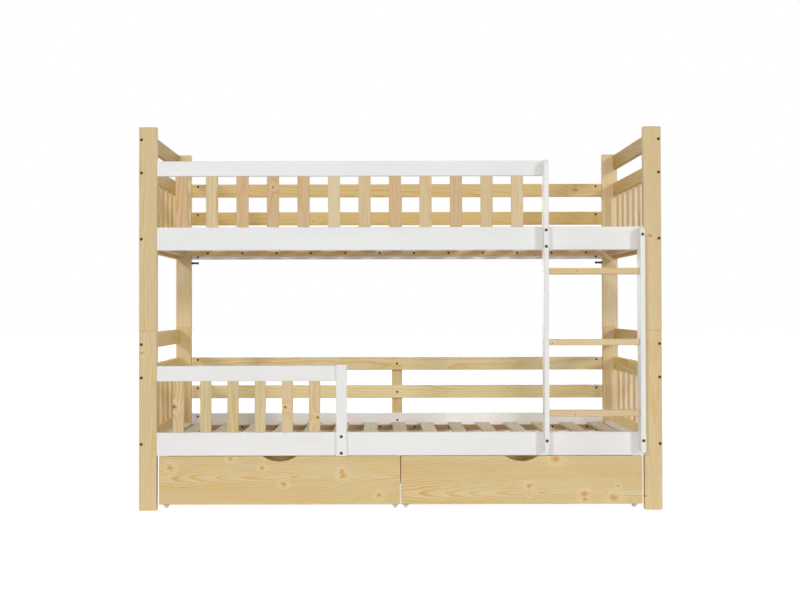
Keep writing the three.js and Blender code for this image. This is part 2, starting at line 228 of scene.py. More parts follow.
def pine(name, places=(), contrast=1.0, roughness=0.5, share=0.22, heart=(176, 120, 62), dark=0.6,
         drift=0.035, gloss=0.35):
    """Lacquered pine. Its knots are random ones, the board's own one, and any from a list of places. The
    drift is how far the rings wander, in metres, dark is how strongly a knot's heart shows, and gloss is how
    strongly the lacquer mirrors."""
    material, tree, shader = new_material(name)
    grain = carried(tree, "grain", "Vector")
    tone, cut, bold = carried(tree, "tone", "Color"), carried(tree, "cut"), carried(tree, "bold")
    own = node(tree, "ShaderNodeSeparateXYZ", {"Vector": carried(tree, "own_knot", "Vector")})

    # The nearest knot, with an uneven edge, and how it pushes the rings out.
    knot = scattered_knots(tree, grain, share)
    knot = calc(tree, "MINIMUM", knot, knot_at(tree, own.outputs["X"], own.outputs["Y"], own.outputs["Z"]))
    for x, z, radius in places:
        knot = calc(tree, "MINIMUM", knot, knot_at(tree, x, z, radius))
    bulge = calc(tree, "EXPONENT", times(tree, knot, -0.45))
    halo = smooth(tree, knot, 1.2, 3.2, 0.24, 0.0)
    blotch = noise(tree, stretched(tree, grain, (90.0, 160.0, 160.0)), 1.0, 2.0)
    knot = times(tree, knot, smooth(tree, blotch, 0.25, 0.75, 0.55, 1.7))

    # The rings: distance to the log's middle, in ring widths, with a dark line late in each.
    sway = noise(tree, stretched(tree, grain, (1.3, 5.0, 5.0)), 1.0, 1.0)
    ripple = noise(tree, stretched(tree, grain, (9.0, 34.0, 34.0)), 1.0, 3.0)
    parts = node(tree, "ShaderNodeSeparateXYZ", {"Vector": grain})
    across, through = parts.outputs["Y"], parts.outputs["Z"]
    squares = plus(tree, times(tree, across, across), times(tree, through, through))
    distance = plus(tree, calc(tree, "SQRT", squares), times(tree, sway, drift))
    distance = plus(tree, distance, times(tree, ripple, RIPPLE_SHARE * drift))
    distance = plus(tree, distance, times(tree, bulge, KNOT_BULGE))
    ring = calc(tree, "FRACT", calc(tree, "DIVIDE", distance, RING_WIDTH))
    late = times(tree, smooth(tree, ring, 0.42, 0.9), smooth(tree, ring, 0.92, 1.0, 1.0, 0.0))
    uneven = noise(tree, stretched(tree, grain, (3.0, 30.0, 30.0)), 1.0, 2.0)
    late = times(tree, late, smooth(tree, uneven, 0.3, 0.7, 0.4, 1.0))
    fibre = noise(tree, stretched(tree, grain, (9.0, 420.0, 420.0)), 1.0, 3.0)
    broad = noise(tree, stretched(tree, grain, (0.9, 9.0, 9.0)), 1.0, 2.0)

    # The board's tone, darkened by ring lines, fine streaks, broad warm patches and end grain.
    lines = calc(tree, "MULTIPLY", late, times(tree, bold, 0.7 * contrast), use_clamp=True)
    ringed = stained(tree, lines, tone, (0.94, 0.68, 0.34))
    streaked = stained(tree, smooth(tree, fibre, 0.35, 0.75, 0.0, 0.45), ringed, (0.86, 0.79, 0.62))
    warmed = stained(tree, smooth(tree, broad, 0.4, 0.75, 0.0, 0.5), streaked, (0.96, 0.87, 0.7))
    ended = stained(tree, times(tree, cut, 0.35), warmed, (0.8, 0.7, 0.56))

    # A knot: a pale halo, a brown core and a darker heart.
    pale = mix(tree, halo, ended, colour(236, 220, 180))
    core = mix(tree, smooth(tree, knot, 0.6, 1.5, 0.7, 0.0), pale, colour(207, 168, 104))
    final = mix(tree, smooth(tree, knot, 0.2, 1.0, dark, 0.0), core, colour(*heart))

    # A faint relief along the fibres, which are also a little duller.
    relief = plus(tree, times(tree, late, 0.5), times(tree, fibre, 0.8))
    dull = plus(tree, times(tree, fibre, 0.16), roughness - 0.08)
    connect(tree, shader, final, relief, 0.25, 0.0004, dull)
    shader.inputs["Specular IOR Level"].default_value = gloss
    return material


pine_boards = pine("pine_boards")
guard_boards = pine("guard_boards", share=0.1, heart=(122, 66, 22), dark=0.95)
slat_boards = pine("slat_boards", contrast=0.8, roughness=0.7)
end_boards = pine("end_boards", gloss=0.05)
print("pine ready")

# %% [markdown]
# ## White paint
# The long rails and the ladder's stiles are sprayed white. A sprayed coat is never quite even: it has a very
# fine orange-peel relief, it drifts a little in tone, and it is thinner and warmer on a rounded edge, where
# the wood nearly shows. The edge attribute says how close a point is to the middle of a rounded edge.

# %% White paint
def white_paint(name, thin=(231, 231, 230), full=(235, 235, 233)):
    """Satin white paint on planed wood, that drifts from a thin coat's tone to a full one's."""
    material, tree, shader = new_material(name)
    grain, edge = carried(tree, "grain", "Vector"), carried(tree, "edge")
    drift = noise(tree, stretched(tree, grain, (2.0, 8.0, 8.0)), 1.0, 2.0)
    peel = noise(tree, grain, 700.0, 2.0)
    fibre = noise(tree, stretched(tree, grain, (14.0, 380.0, 380.0)), 1.0, 2.0)
    coat = mix(tree, smooth(tree, drift, 0.3, 0.7), colour(*thin), colour(*full))
    rubbed = times(tree, edge, smooth(tree, fibre, 0.3, 0.7, 0.15, 0.55))
    base = mix(tree, rubbed, coat, colour(222, 216, 204))
    relief = plus(tree, times(tree, peel, 0.5), times(tree, fibre, 0.5))
    connect(tree, shader, base, relief, 0.12, 0.0003, plus(tree, times(tree, drift, 0.12), 0.32))
    shader.inputs["Specular IOR Level"].default_value = 0.4
    return material


paint = white_paint("white_paint")
# The back bed rails get a whiter copy of the same paint: painted light, which makes up for the shade they lie
# in at the back of the bed.
lit_back_paint = white_paint("lit_back_white_paint", (243, 244, 246), (247, 248, 250))

# %% [markdown]
# ## Metal and plastic
# The bolts have a dark bronze finish, darker where it has pitted. The barrel nuts and the screws have a darker
# copy of it, whose extra darkness is painted shade of the holes they sit in. The casters are moulded in a pale
# plastic. Both vary with position, so no two heads are quite the same.

# %% Metal and plastic
def plated_metal(name, dark, light, roughness):
    """Plated steel whose finish is mottled between two tones."""
    material, tree, shader = new_material(name)
    point = node(tree, "ShaderNodeTexCoord").outputs["Object"]
    mottle = noise(tree, point, 420.0, 3.0)
    base = mix(tree, smooth(tree, mottle, 0.35, 0.65), dark, light)
    connect(tree, shader, base, mottle, 0.15, 0.0002, plus(tree, times(tree, mottle, 0.25), roughness))
    shader.inputs["Metallic"].default_value = 0.4
    return material


def moulded_plastic(name, base, worn):
    """Moulded plastic with a fine grain and faint rolling marks."""
    material, tree, shader = new_material(name)
    point = node(tree, "ShaderNodeTexCoord").outputs["Object"]
    pores = noise(tree, point, 1500.0, 2.0)
    marks = noise(tree, point, 160.0, 3.0)
    marked = mix(tree, smooth(tree, marks, 0.5, 0.72, 0.0, 0.6), base, worn)
    connect(tree, shader, marked, pores, 0.1, 0.0002, plus(tree, times(tree, marks, 0.2), 0.3))
    return material


bronze = plated_metal("bronze_plating", colour(50, 36, 16), colour(98, 74, 38), 0.5)
# Painted shade: the nuts and screws take this darker bronze for the shade in the holes they are sunk in.
sunk = plated_metal("sunk_shaded_bronze", colour(34, 24, 14), colour(58, 42, 26), 0.6)
plastic = moulded_plastic("caster_plastic", colour(226, 226, 223), colour(204, 203, 198))
print("finishes", len(bpy.data.materials))

# %% [markdown]
# ## Boards
# A planed board is an outline carried along a line, with its rims rounded at both ends. The outline is a list
# of points with the direction that each one faces, so the same numbers give the shape and its shading: flat
# faces shade flat and rounded edges shade round, with few faces.

# %% Outlines
ARC_STEPS = 4
SECTION = {"x": (1, 2), "y": (2, 0), "z": (0, 1)}
AXIS = {"x": 0, "y": 1, "z": 2}


def in_space(along, across, upward, length):
    """Puts three grids of numbers together as points: two places across an axis and one along it."""
    across, upward, length = np.broadcast_arrays(across, upward, length)
    first, second = SECTION[along]
    points = np.zeros((*across.shape, 3))
    points[..., first], points[..., second], points[..., AXIS[along]] = across, upward, length
    return points


def tube_faces(rings, count, closed=False):
    """The faces of a tube of rings, each joined to the next. An open tube has a face at each end."""
    ids = np.arange(rings * count).reshape(rings, count)
    ends = [] if closed else [ids[0][::-1].tolist(), ids[-1].tolist()]
    ids = np.vstack([ids, ids[:1]]) if closed else ids
    ahead = np.roll(ids, -1, axis=1)
    return np.stack([ids[:-1], ahead[:-1], ahead[1:], ids[1:]], axis=-1).reshape(-1, 4).tolist() + ends


def arc(centre, radius, start, end, steps, hollow=False):
    """Points of an arc with their facings: centre plus radius times (cosine, sine). A hollow faces in."""
    turn = np.radians(np.linspace(start, end, steps + 1))
    facing = np.stack([np.cos(turn), np.sin(turn)], axis=1)
    points = np.array(centre) + radius * facing
    return np.hstack([points, -facing if hollow else facing])


def rounded_outline(low, high, radius, upper_left=None, steps=ARC_STEPS):
    """A rectangle's outline, anticlockwise, with a quarter arc at each corner."""
    (left, bottom), (right, top) = low, high
    lead = radius if upper_left is None else upper_left
    return np.vstack([
        arc((left + radius, bottom + radius), radius, 180, 270, steps),
        arc((right - radius, bottom + radius), radius, 270, 360, steps),
        arc((right - radius, top - radius), radius, 0, 90, steps),
        arc((left + lead, top - lead), lead, 90, 180, steps),
    ])


# %% Slabs
def slab(outline, along, start, end, rim, steps=3):
    """An outline carried along an axis. Each ring is drawn in by rim times (1 - cosine) of its tilt, and
    lies rim times (1 - sine) in from the end, so the rim is a quarter round. Returns points with their
    facings, how near each is to an edge and how far it is on a cut end, and the faces."""
    tilt = np.radians(np.concatenate([np.linspace(90, 0, steps + 1), np.linspace(0, 90, steps + 1)]))
    side = np.repeat([-1.0, 1.0], steps + 1)
    place = np.where(side < 0, start + rim * (1 - np.sin(tilt)), end - rim * (1 - np.sin(tilt)))
    drawn = outline[None, :, :2] - (rim * (1 - np.cos(tilt)))[:, None, None] * outline[None, :, 2:]
    facing = np.cos(tilt)[:, None, None] * outline[None, :, 2:]
    rings, count = len(tilt), len(outline)
    points = in_space(along, drawn[..., 0], drawn[..., 1], place[:, None])
    normals = in_space(along, facing[..., 0], facing[..., 1], (side * np.sin(tilt))[:, None])
    corner = np.abs(outline[:, 2] * outline[:, 3]) * 2
    edge = np.maximum(np.broadcast_to(corner, (rings, count)), np.abs(np.sin(2 * tilt))[:, None])
    cut = np.broadcast_to((np.sin(tilt) ** 8)[:, None], (rings, count))
    return {
        "points": points.reshape(-1, 3),
        "normals": normals.reshape(-1, 3),
        "edge": edge.reshape(-1),
        "cut": cut.reshape(-1),
        "faces": tube_faces(rings, count),
    }


# %% [markdown]
# ## Grain and tone of one board
# Every board gets its own place in a log and its own tone. The random numbers are seeded by the board's name,
# so the bed looks the same each time, and a board keeps its grain when others are added. Knots that stand
# out in the picture are listed by board, with x, z and radius on the bed's front, and so is the boldness of
# the rings where it isn't left to chance.

# %% Grain and tone
NO_KNOT = (0.0, -9.0, 0.001)
KNOTS = {
    "upper_front_right_post": (0.9842, 1.0786, 0.0085),
    "lower_front_right_post": (0.9602, 0.0546, 0.005),
    "lower_front_left_post": (-1.0167, 0.6197, 0.007),
    "upper_back_guard_rail_high": (0.8333, 1.3445, 0.012),
    "upper_back_guard_rail_low": (-0.3891, 1.202, 0.007),
    "upper_front_guard_picket_3": (-0.5012, 1.2729, 0.006),
    "lower_front_guard_picket_0": (-0.892, 0.408, 0.011),
    "lower_front_guard_picket_4": (-0.453, 0.4054, 0.0062),
    "lower_front_guard_picket_5": (-0.324, 0.3646, 0.007),
    "ladder_rung_1": (0.6792, 0.3786, 0.003),
    "ladder_rung_2": (0.5909, 0.6556, 0.0045),
    "ladder_rung_3": (0.6903, 0.9374, 0.004),
}
BOLDNESS = {
    "upper_front_guard_picket_1": 1.8, "lower_front_guard_picket_0": 2.0,
    "left_drawer_front": 1.0, "right_drawer_front": 1.0,
}
TONE_SPREAD = 0.03


def in_log(part, name, along, tone, spread=TONE_SPREAD, place=None, lean=None):
    """Adds the grain and tone attributes: the point, turned so that its first number runs along the grain and
    its last through the board, and moved to a place beside the log's middle. The log's middle leans away
    from the board, so the rings meet its face in long pointed arches. What isn't given is random."""
    random = np.random.default_rng(zlib.crc32(name.encode()))
    points = part["points"]
    first, second = SECTION[along]
    reach = np.ptp(points, axis=0)
    wide, thin = (first, second) if reach[first] >= reach[second] else (second, first)
    middle = (points.min(axis=0) + points.max(axis=0)) / 2
    local = (points - middle)[:, [AXIS[along], wide, thin]]
    drawn = [random.uniform(0, 40), random.uniform(-0.05, 0.05), random.uniform(0.02, 0.12)]
    slope = random.uniform(-0.03, 0.03)
    boldness = random.uniform(0.5, 1.5)
    local[:, 2] += (slope if lean is None else lean) * local[:, 0]
    part["grain"] = local + (drawn if place is None else place)
    lightness = 1 + random.normal(0, spread)
    warmth = random.normal(0, spread * 0.8)
    varied = linear(*tone) * lightness * np.array([1 + 0.4 * warmth, 1 - 0.6 * warmth, 1 - 1.6 * warmth])
    part["tone"] = np.tile([*np.clip(varied, 0, 1), 1.0], (len(points), 1))
    part["bold"] = np.full(len(points), BOLDNESS.get(name, boldness))
    part["own_knot"] = np.tile(KNOTS.get(name, NO_KNOT), (len(points), 1))
    return part


EDGE = 0.003
RIM = 0.002


def board(name, along, low, high, tone, edge=EDGE, rim=RIM, spread=TONE_SPREAD):
    """A planed board that fills the box from low to high, its grain along one axis."""
    first, second = SECTION[along]
    outline = rounded_outline((low[first], low[second]), (high[first], high[second]), edge)
    part = slab(outline, along, low[AXIS[along]], high[AXIS[along]], rim)
    return in_log(part, name, along, tone, spread)


# %% Pieces from parts
# What a part may carry: the kind of each attribute and the field that holds its values.
CARRIED = {
    "grain": ("FLOAT_VECTOR", "vector"), "tone": ("FLOAT_COLOR", "color"), "edge": ("FLOAT", "value"),
    "cut": ("FLOAT", "value"), "bold": ("FLOAT", "value"), "own_knot": ("FLOAT_VECTOR", "vector"),
}
SHARP_ANGLE = 35
FRAME_BODY = "bed_frame"


def piece(name, parts, material, *stands_for, body=FRAME_BODY, slot="natural_pine"):
    """Joins parts into one object that rides on a body and stands for CAD nodes."""
    starts = np.cumsum([0] + [len(p["points"]) for p in parts])
    faces = [[i + start for i in face] for start, p in zip(starts, parts) for face in p["faces"]]
    mesh = bpy.data.meshes.new(name)
    mesh.from_pydata(np.vstack([p["points"] for p in parts]), [], faces)
    mesh.polygons.foreach_set("use_smooth", np.ones(len(faces), bool))
    for key, (kind, field) in CARRIED.items():
        if key in parts[0]:
            values = np.concatenate([p[key] for p in parts]).astype(np.float32)
            mesh.attributes.new(key, kind, "POINT").data.foreach_set(field, values.ravel())
    if "normals" in parts[0]:
        mesh.normals_split_custom_set_from_vertices(np.vstack([p["normals"] for p in parts]))
    else:
        mesh.set_sharp_from_angle(angle=math.radians(SHARP_ANGLE))
    mesh.materials.append(material)
    made = new_object(name, mesh)
    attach(made, body)
    if stands_for:
        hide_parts(*stands_for)
    return made


def size_of(name):
    """Lowest and highest corner of a CAD node, as arrays."""
    low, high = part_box(name)
    return np.array(low), np.array(high)


def one_board(node_name, along, low, high, tone, material, slot="natural_pine", **settings):
    """A piece of the frame that is one board and stands for one CAD node."""
    part = board(node_name, along, low, high, tone, **settings)
    return piece(f"{node_name}_board", [part], material, node_name, slot=slot)


# %% [markdown]
# ## Posts
# Eight posts carry everything. The outer face is set back by less than a millimetre, so that the flat bolt
# heads there stay within the bed's real size. The front posts are a little darker than the back ones, and
# three posts have a tone of their own.

# %% Posts
FLUSH = 0.0008
POST_PINES = {
    "front": (219, 198, 157), "back": (227, 209, 172), "lower_front_right_post": (221, 203, 163),
    "lower_back_left_post": (221, 200, 156), "upper_back_right_post": (231, 215, 181),
}
SIDES = {"left": -1, "right": 1}
TIERS = ("lower", "upper")
ROWS = ("front", "back")
POST_SPREAD = 0.006
post_boards = pine("post_boards", contrast=0.55, share=0.08, gloss=0.08)


def post(tier, row, side):
    """A corner post, a little thinner at its outer face."""
    node_name = f"{tier}_{row}_{side}_post"
    low, high = size_of(node_name)
    if side == "left":
        low[0] += FLUSH
    else:
        high[0] -= FLUSH
    tone = POST_PINES.get(node_name, POST_PINES[row])
    return one_board(node_name, "z", low, high, tone, post_boards, spread=POST_SPREAD)


for tier in TIERS:
    for row in ROWS:
        for side in SIDES:
            post(tier, row, side)

# %% [markdown]
# ## Rails that stand alone
# The painted bed rails, the end top rails, the back guard rails and the battens are single boards. Each takes
# its size from its solid, and its tone from the place it has in the bed. The rails end against other boards,
# so their ends are hardly rounded. The end top rails and the upper end panels have a duller lacquer. Each end
# has three tones: of its top rail, and of the upper and the lower rail of its panel. These tones carry painted
# light and shade besides the wood's own tone, most clearly in the darker upper ends and the darker top rail of
# the lower right end.

# %% Single rails
BUTT_RIM = 0.0006
END_BOARDS = {"lower": pine_boards, "upper": end_boards}
# Tones of each end, with painted shade and light in them: darker on the upper ends and on the lower right top
# rail.
END_PINES_LIT_AND_SHADED = {
    "lower_left": ((230, 203, 136), (228, 206, 138), (218, 190, 128)),
    "lower_right": ((207, 174, 104), (224, 199, 126), (240, 217, 162)),
    "upper_left": ((188, 157, 92), (206, 177, 115), (228, 200, 142)),
    "upper_right": ((196, 166, 100), (213, 184, 118), (216, 184, 122)),
}
BACK_PINE = (209, 191, 147)
WHITE = (233, 233, 231)
# The back row's whiter paint is painted light, for the shade at the back of the bed.
BED_RAIL_PAINTS = {"front": paint, "back": lit_back_paint}
BACK_RAIL_PINES = {
    "upper_back_guard_rail_high": (218, 194, 138), "upper_back_guard_rail_low": (221, 193, 130),
    "lower_back_guard_rail_high": (219, 206, 165), "lower_back_guard_rail_low": (232, 218, 173),
}
END_SPREAD, BACK_RAIL_SPREAD = 0.01, 0.008


def single(node_name, along, tone, material, slot="natural_pine", rim=BUTT_RIM, **settings):
    """A rail that is one board and fills its solid's box."""
    return one_board(node_name, along, *size_of(node_name), tone, material, slot, rim=rim, **settings)


for tier in TIERS:
    for row in ROWS:
        single(f"{tier}_{row}_bed_rail", "x", WHITE, BED_RAIL_PAINTS[row], "white_paint")
    for side in SIDES:
        end = f"{tier}_{side}"
        single(f"{end}_end_top_rail", "y", END_PINES_LIT_AND_SHADED[end][0], end_boards, spread=END_SPREAD)
for name, tone in BACK_RAIL_PINES.items():
    single(name, "x", tone, pine_boards, spread=BACK_RAIL_SPREAD)
print("back rails", len(BACK_RAIL_PINES))

# %% Battens
for tier in TIERS:
    low, high = size_of(f"{tier}_back_batten")
    high[1] -= FLUSH
    one_board(f"{tier}_back_batten", "z", low, high, BACK_PINE, pine_boards)
print("battens", len(TIERS))

# %% [markdown]
# ## Picket panels
# An end panel has two rails with pickets glued between them, and a front guard has one painted rail over bare
# pickets. The pickets are spread so that every gap is the same, the rule that a joiner sets them out by.

# %% Evenly spaced boards
PICKET_THICKNESS = 0.013
END_PICKETS, END_PICKET_WIDTH = 7, 0.06
RAIL_HEIGHT = 0.06
BED_RAIL_HEIGHT = 0.0915


def even_middles(start, end, count, width):
    """Middles of boards with equal gaps: start plus gap plus half a width, then steps of gap plus width."""
    gap = (end - start - count * width) / (count + 1)
    return start + gap + width / 2 + np.arange(count) * (gap + width)


# %% End panels
END_PICKET_PINE = {"left": (224, 199, 148), "right": (235, 218, 185)}


def end_panel(tier, side):
    """Two rails along the end, and upright pickets that are a little thinner."""
    end = f"{tier}_{side}"
    name = f"{end}_end_panel"
    low, high = size_of(name)
    middle = (low[0] + high[0]) / 2
    upper_low = [low[0], low[1], high[2] - RAIL_HEIGHT]
    lower_high = [high[0], high[1], low[2] + BED_RAIL_HEIGHT]
    parts = [
        board(f"{name}_upper", "y", upper_low, high, END_PINES_LIT_AND_SHADED[end][1], rim=BUTT_RIM),
        board(f"{name}_lower", "y", low, lower_high, END_PINES_LIT_AND_SHADED[end][2], rim=BUTT_RIM),
    ]
    for i, y in enumerate(even_middles(low[1], high[1], END_PICKETS, END_PICKET_WIDTH)):
        near = [middle - PICKET_THICKNESS / 2, y - END_PICKET_WIDTH / 2, low[2] + BED_RAIL_HEIGHT - EDGE]
        far = [middle + PICKET_THICKNESS / 2, y + END_PICKET_WIDTH / 2, high[2] - RAIL_HEIGHT + EDGE]
        parts.append(board(f"{name}_picket_{i}", "z", near, far, END_PICKET_PINE[side]))
    return piece(f"{name}_boards", parts, END_BOARDS[tier], name)


for tier in TIERS:
    for side in SIDES:
        end_panel(tier, side)
print("end pickets", 4 * END_PICKETS)

# %% Front guards
GUARD_RAIL_RIM = 0.0015
GUARD_PINES = {
    "rosy": (208, 179, 140), "tan": (215, 193, 154), "pale": (219, 200, 163), "straw": (210, 193, 152),
}
UPPER_PICKETS = "rosy pale rosy rosy rosy pale tan rosy tan rosy tan pale".split()
LOWER_PICKETS = "straw straw straw straw tan tan".split()
UPPER_PICKET_WIDTH, LOWER_PICKET_WIDTH = 0.048, 0.044
PICKET_SPREAD = 0.012


def front_guard(node_name, start, end, pines, width):
    """A painted rail, and bare pickets under it, each of its own pine, that stand on the bed rail."""
    low, high = size_of(node_name)
    rail_low = [low[0], low[1], high[2] - RAIL_HEIGHT]
    rail = board(f"{node_name}_rail", "x", rail_low, high, WHITE, rim=GUARD_RAIL_RIM)
    piece(f"{node_name}_rail", [rail], paint, node_name, slot="white_paint")
    middle = (low[1] + high[1]) / 2
    parts = []
    for i, x in enumerate(even_middles(start, end, len(pines), width)):
        near = [x - width / 2, middle - PICKET_THICKNESS / 2, low[2]]
        far = [x + width / 2, middle + PICKET_THICKNESS / 2, high[2] - RAIL_HEIGHT + EDGE]
        name = f"{node_name}_picket_{i}"
        parts.append(board(name, "z", near, far, GUARD_PINES[pines[i]], spread=PICKET_SPREAD))
    return piece(f"{node_name}_pickets", parts, guard_boards, node_name)


post_face = size_of("lower_front_left_post")[1][0]
stile_face = size_of("ladder_left_stile")[0][0]
end_post_face = size_of("lower_guard_end_post")[0][0]
front_guard("upper_front_guard", post_face, stile_face, UPPER_PICKETS, UPPER_PICKET_WIDTH)
front_guard("lower_front_guard", post_face, end_post_face, LOWER_PICKETS, LOWER_PICKET_WIDTH)
single("lower_guard_end_post", "z", WHITE, paint, "white_paint", rim=RIM)
print("guard pickets", len(UPPER_PICKETS + LOWER_PICKETS))

# %% [markdown]
# ## Slat bases
# The slats are raw planed pine, paler and greyer than the lacquered boards, and each lies on the two cleats
# along the bed rails. The board at each end is painted, and rests on a cleat of its own.

# %% Slats and cleats
SLATS, SLAT_WIDTH, SLAT_THICKNESS = 15, 0.06, 0.012
CLEAT_THICKNESS, CLEAT_HEIGHT = 0.02, 0.022
SLAT_PINES = {"lower": (215, 206, 186), "upper": (227, 217, 195)}
# The lower tier's cleats are much darker than the upper ones: painted shade for the dark under the lower
# slats.
CLEAT_PINES_AND_SHADE = {"lower": (182, 153, 112), "upper": (228, 201, 158)}
SLAT_END_SPACES = {"lower": (0.029, 0.0155), "upper": (0.03675, 0.03675)}
SLAT_INSET, SLAT_EDGE, SLAT_RIM, SLAT_SPREAD = 0.001, 0.002, 0.001, 0.07
CLEAT_EDGE = 0.0015


def slat_base(tier):
    """Two cleats and the slats across them."""
    name = f"{tier}_slat_base"
    low, high = size_of(name)
    tone = CLEAT_PINES_AND_SHADE[tier]
    top = low[2] + CLEAT_HEIGHT
    front_high = [high[0], low[1] + CLEAT_THICKNESS, top]
    back_low = [low[0], high[1] - CLEAT_THICKNESS, low[2]]
    parts = [
        board(f"{name}_front", "x", low, front_high, tone, CLEAT_EDGE, BUTT_RIM),
        board(f"{name}_back", "x", back_low, [high[0], high[1], top], tone, CLEAT_EDGE, BUTT_RIM),
    ]
    reach = size_of(f"{tier}_right_end_slat")[0][0] - SLAT_WIDTH / 2
    left_space, right_space = SLAT_END_SPACES[tier]
    for i, x in enumerate(np.linspace(left_space - reach, reach - right_space, SLATS)):
        near = [x - SLAT_WIDTH / 2, low[1] + SLAT_INSET, high[2] - SLAT_THICKNESS]
        far = [x + SLAT_WIDTH / 2, high[1] - SLAT_INSET, high[2]]
        slat = f"{name}_slat_{i}"
        parts.append(board(slat, "y", near, far, SLAT_PINES[tier], SLAT_EDGE, SLAT_RIM, SLAT_SPREAD))
    return piece(f"{name}_boards", parts, slat_boards, name, slot="slat_pine")


def end_slat(tier, side):
    """A painted slat beside an end panel, and the bare cleat that it rests on."""
    name = f"{tier}_{side}_end_slat"
    low, high = size_of(name)
    slat = board(f"{name}_slat", "y", [low[0], low[1], high[2] - SLAT_THICKNESS], high, WHITE, rim=BUTT_RIM)
    near, far = low.copy(), np.array([high[0], high[1], low[2] + CLEAT_HEIGHT])
    if side == "right":
        near[0] = high[0] - CLEAT_THICKNESS
    else:
        far[0] = low[0] + CLEAT_THICKNESS
    cleat = board(f"{name}_cleat", "y", near, far, CLEAT_PINES_AND_SHADE[tier], rim=BUTT_RIM)
    piece(f"{name}_cleat", [cleat], pine_boards, name)
    return piece(f"{name}_board", [slat], paint, name, slot="white_paint")


for tier in TIERS:
    slat_base(tier)
    for side in SIDES:
        end_slat(tier, side)
print("slats", 2 * SLATS)

# %% [markdown]
# ## Ladder
# Each stile is a deep board on edge whose front top corner is well rounded, so that nobody is hurt on it.
# The left one runs on up to end the guard. The rungs are bare pine, and reach from one to the other.

# %% Ladder
STILE_ROUND, STILE_EDGE, STILE_RIM = 0.022, 0.003, 0.0028
RUNGS = ("ladder_rung_1", "ladder_rung_2", "ladder_rung_3")
RUNG_PINE = (220, 200, 160)
RUNG_EDGE, RUNG_RIM = 0.004, 0.0003


def stile(side):
    """A stile is an outline in depth and height, carried across its thickness."""
    name = f"ladder_{side}_stile"
    low, high = size_of(name)
    outline = rounded_outline((low[1] + FLUSH, low[2]), high[1:], STILE_EDGE, STILE_ROUND, steps=8)
    part = slab(outline, "x", low[0], high[0], STILE_RIM)
    in_log(part, name, "z", WHITE)
    return piece(f"{name}_board", [part], paint, name, slot="white_paint")


for side in SIDES:
    stile(side)
for name in RUNGS:
    single(name, "x", RUNG_PINE, guard_boards, rim=RUNG_RIM, edge=RUNG_EDGE)
print("ladder has", len(RUNGS), "rungs")

# %% [markdown]
# ## Drawers
# A drawer front is one wide knotty board. The finger hold is a shallow arc cut in its top edge, with the
# corners eased where the arc meets the edge. The box behind it is made of thinner boards.

# %% Drawer fronts
FINGER_CHORD, FINGER_DEPTH = 0.133, 0.021
DRAWER_PINE, DRAWER_HEART = (221, 206, 164), (196, 146, 74)
FRONT_RIM, FINGER_EASE = 0.0018, 0.001
LOG_PLACE, FLATTENED = 7.0, 1.25


def finger_outline(low, high):
    """A rectangle whose top edge dips in an arc. With chord c and depth d the arc's radius is
    (c squared / 4 + d squared) / 2d. Heights and widths are swapped, because the slab runs along Y."""
    radius = (FINGER_CHORD**2 / 4 + FINGER_DEPTH**2) / (2 * FINGER_DEPTH)
    half = math.degrees(math.asin(FINGER_CHORD / 2 / radius))
    middle, top = (low[0] + high[0]) / 2, high[2]
    centre = (top - FINGER_DEPTH + radius, middle)
    box = rounded_outline((low[2], low[0]), (high[2], high[0]), EDGE)
    dip = arc(centre, radius, 180 + half, 180 - half, steps=24, hollow=True)
    ease_low = np.array([[top, middle - FINGER_CHORD / 2 - FINGER_EASE, 1.0, 0.0]])
    ease_high = np.array([[top, middle + FINGER_CHORD / 2 + FINGER_EASE, 1.0, 0.0]])
    corner = 2 * (ARC_STEPS + 1)
    return np.vstack([box[:corner], ease_low, dip, ease_high, box[corner:]])


def drawer_front(side, places, heart, lean):
    """A wide board with the finger hold, in a finish that has this front's own knots. The heart of its log
    comes through the face at a given x and z, and leans. Its rings are flattened, so the flames are long."""
    name = f"{side}_drawer_front"
    low, high = size_of(name)
    part = slab(finger_outline(low, high), "y", low[1], high[1], FRONT_RIM)
    middle = (low + high) / 2
    place = (LOG_PLACE, middle[2] - heart[1], lean * (middle[0] - heart[0]) + (high[1] - low[1]) / 2)
    in_log(part, name, "x", DRAWER_PINE, 0.0, place, lean)
    part["grain"][:, 1] *= FLATTENED
    finish = pine(f"{name}_board", places, 1.55, share=0.0, heart=DRAWER_HEART, dark=0.8, drift=0.02)
    return piece(f"{name}_board", [part], finish, name, body=f"{side}_drawer", slot="drawer_pine")


LEFT_KNOTS = [
    (-0.906, 0.168, 0.012), (-0.668, 0.204, 0.009), (-0.544, 0.168, 0.008), (-0.46, 0.104, 0.01),
    (-0.456, 0.138, 0.003), (-0.676, 0.143, 0.0025), (-0.232, 0.15, 0.01), (-0.226, 0.136, 0.012),
    (-0.087, 0.061, 0.009),
]
RIGHT_KNOTS = [
    (0.609, 0.2, 0.014), (0.504, 0.096, 0.01), (0.507, 0.058, 0.005), (0.721, 0.064, 0.012),
    (0.723, 0.042, 0.01), (0.836, 0.048, 0.015), (0.853, 0.095, 0.006),
]
drawer_front("left", LEFT_KNOTS, (-0.3, 0.131), 0.065)
drawer_front("right", RIGHT_KNOTS, (0.66, 0.068), 0.075)
print("finger hold", FINGER_CHORD, "by", FINGER_DEPTH, "m")

# %% Drawer boxes
BOX_PINE = (210, 187, 138)
BOX_BOARD, FLOOR_RISE, FLOOR_THICKNESS, FLOOR_INSET = 0.015, 0.008, 0.006, 0.01
BOX_RIM, FLOOR_EDGE = 0.0005, 0.001
CORNERS = ("front_left", "front_right", "back_left", "back_right")


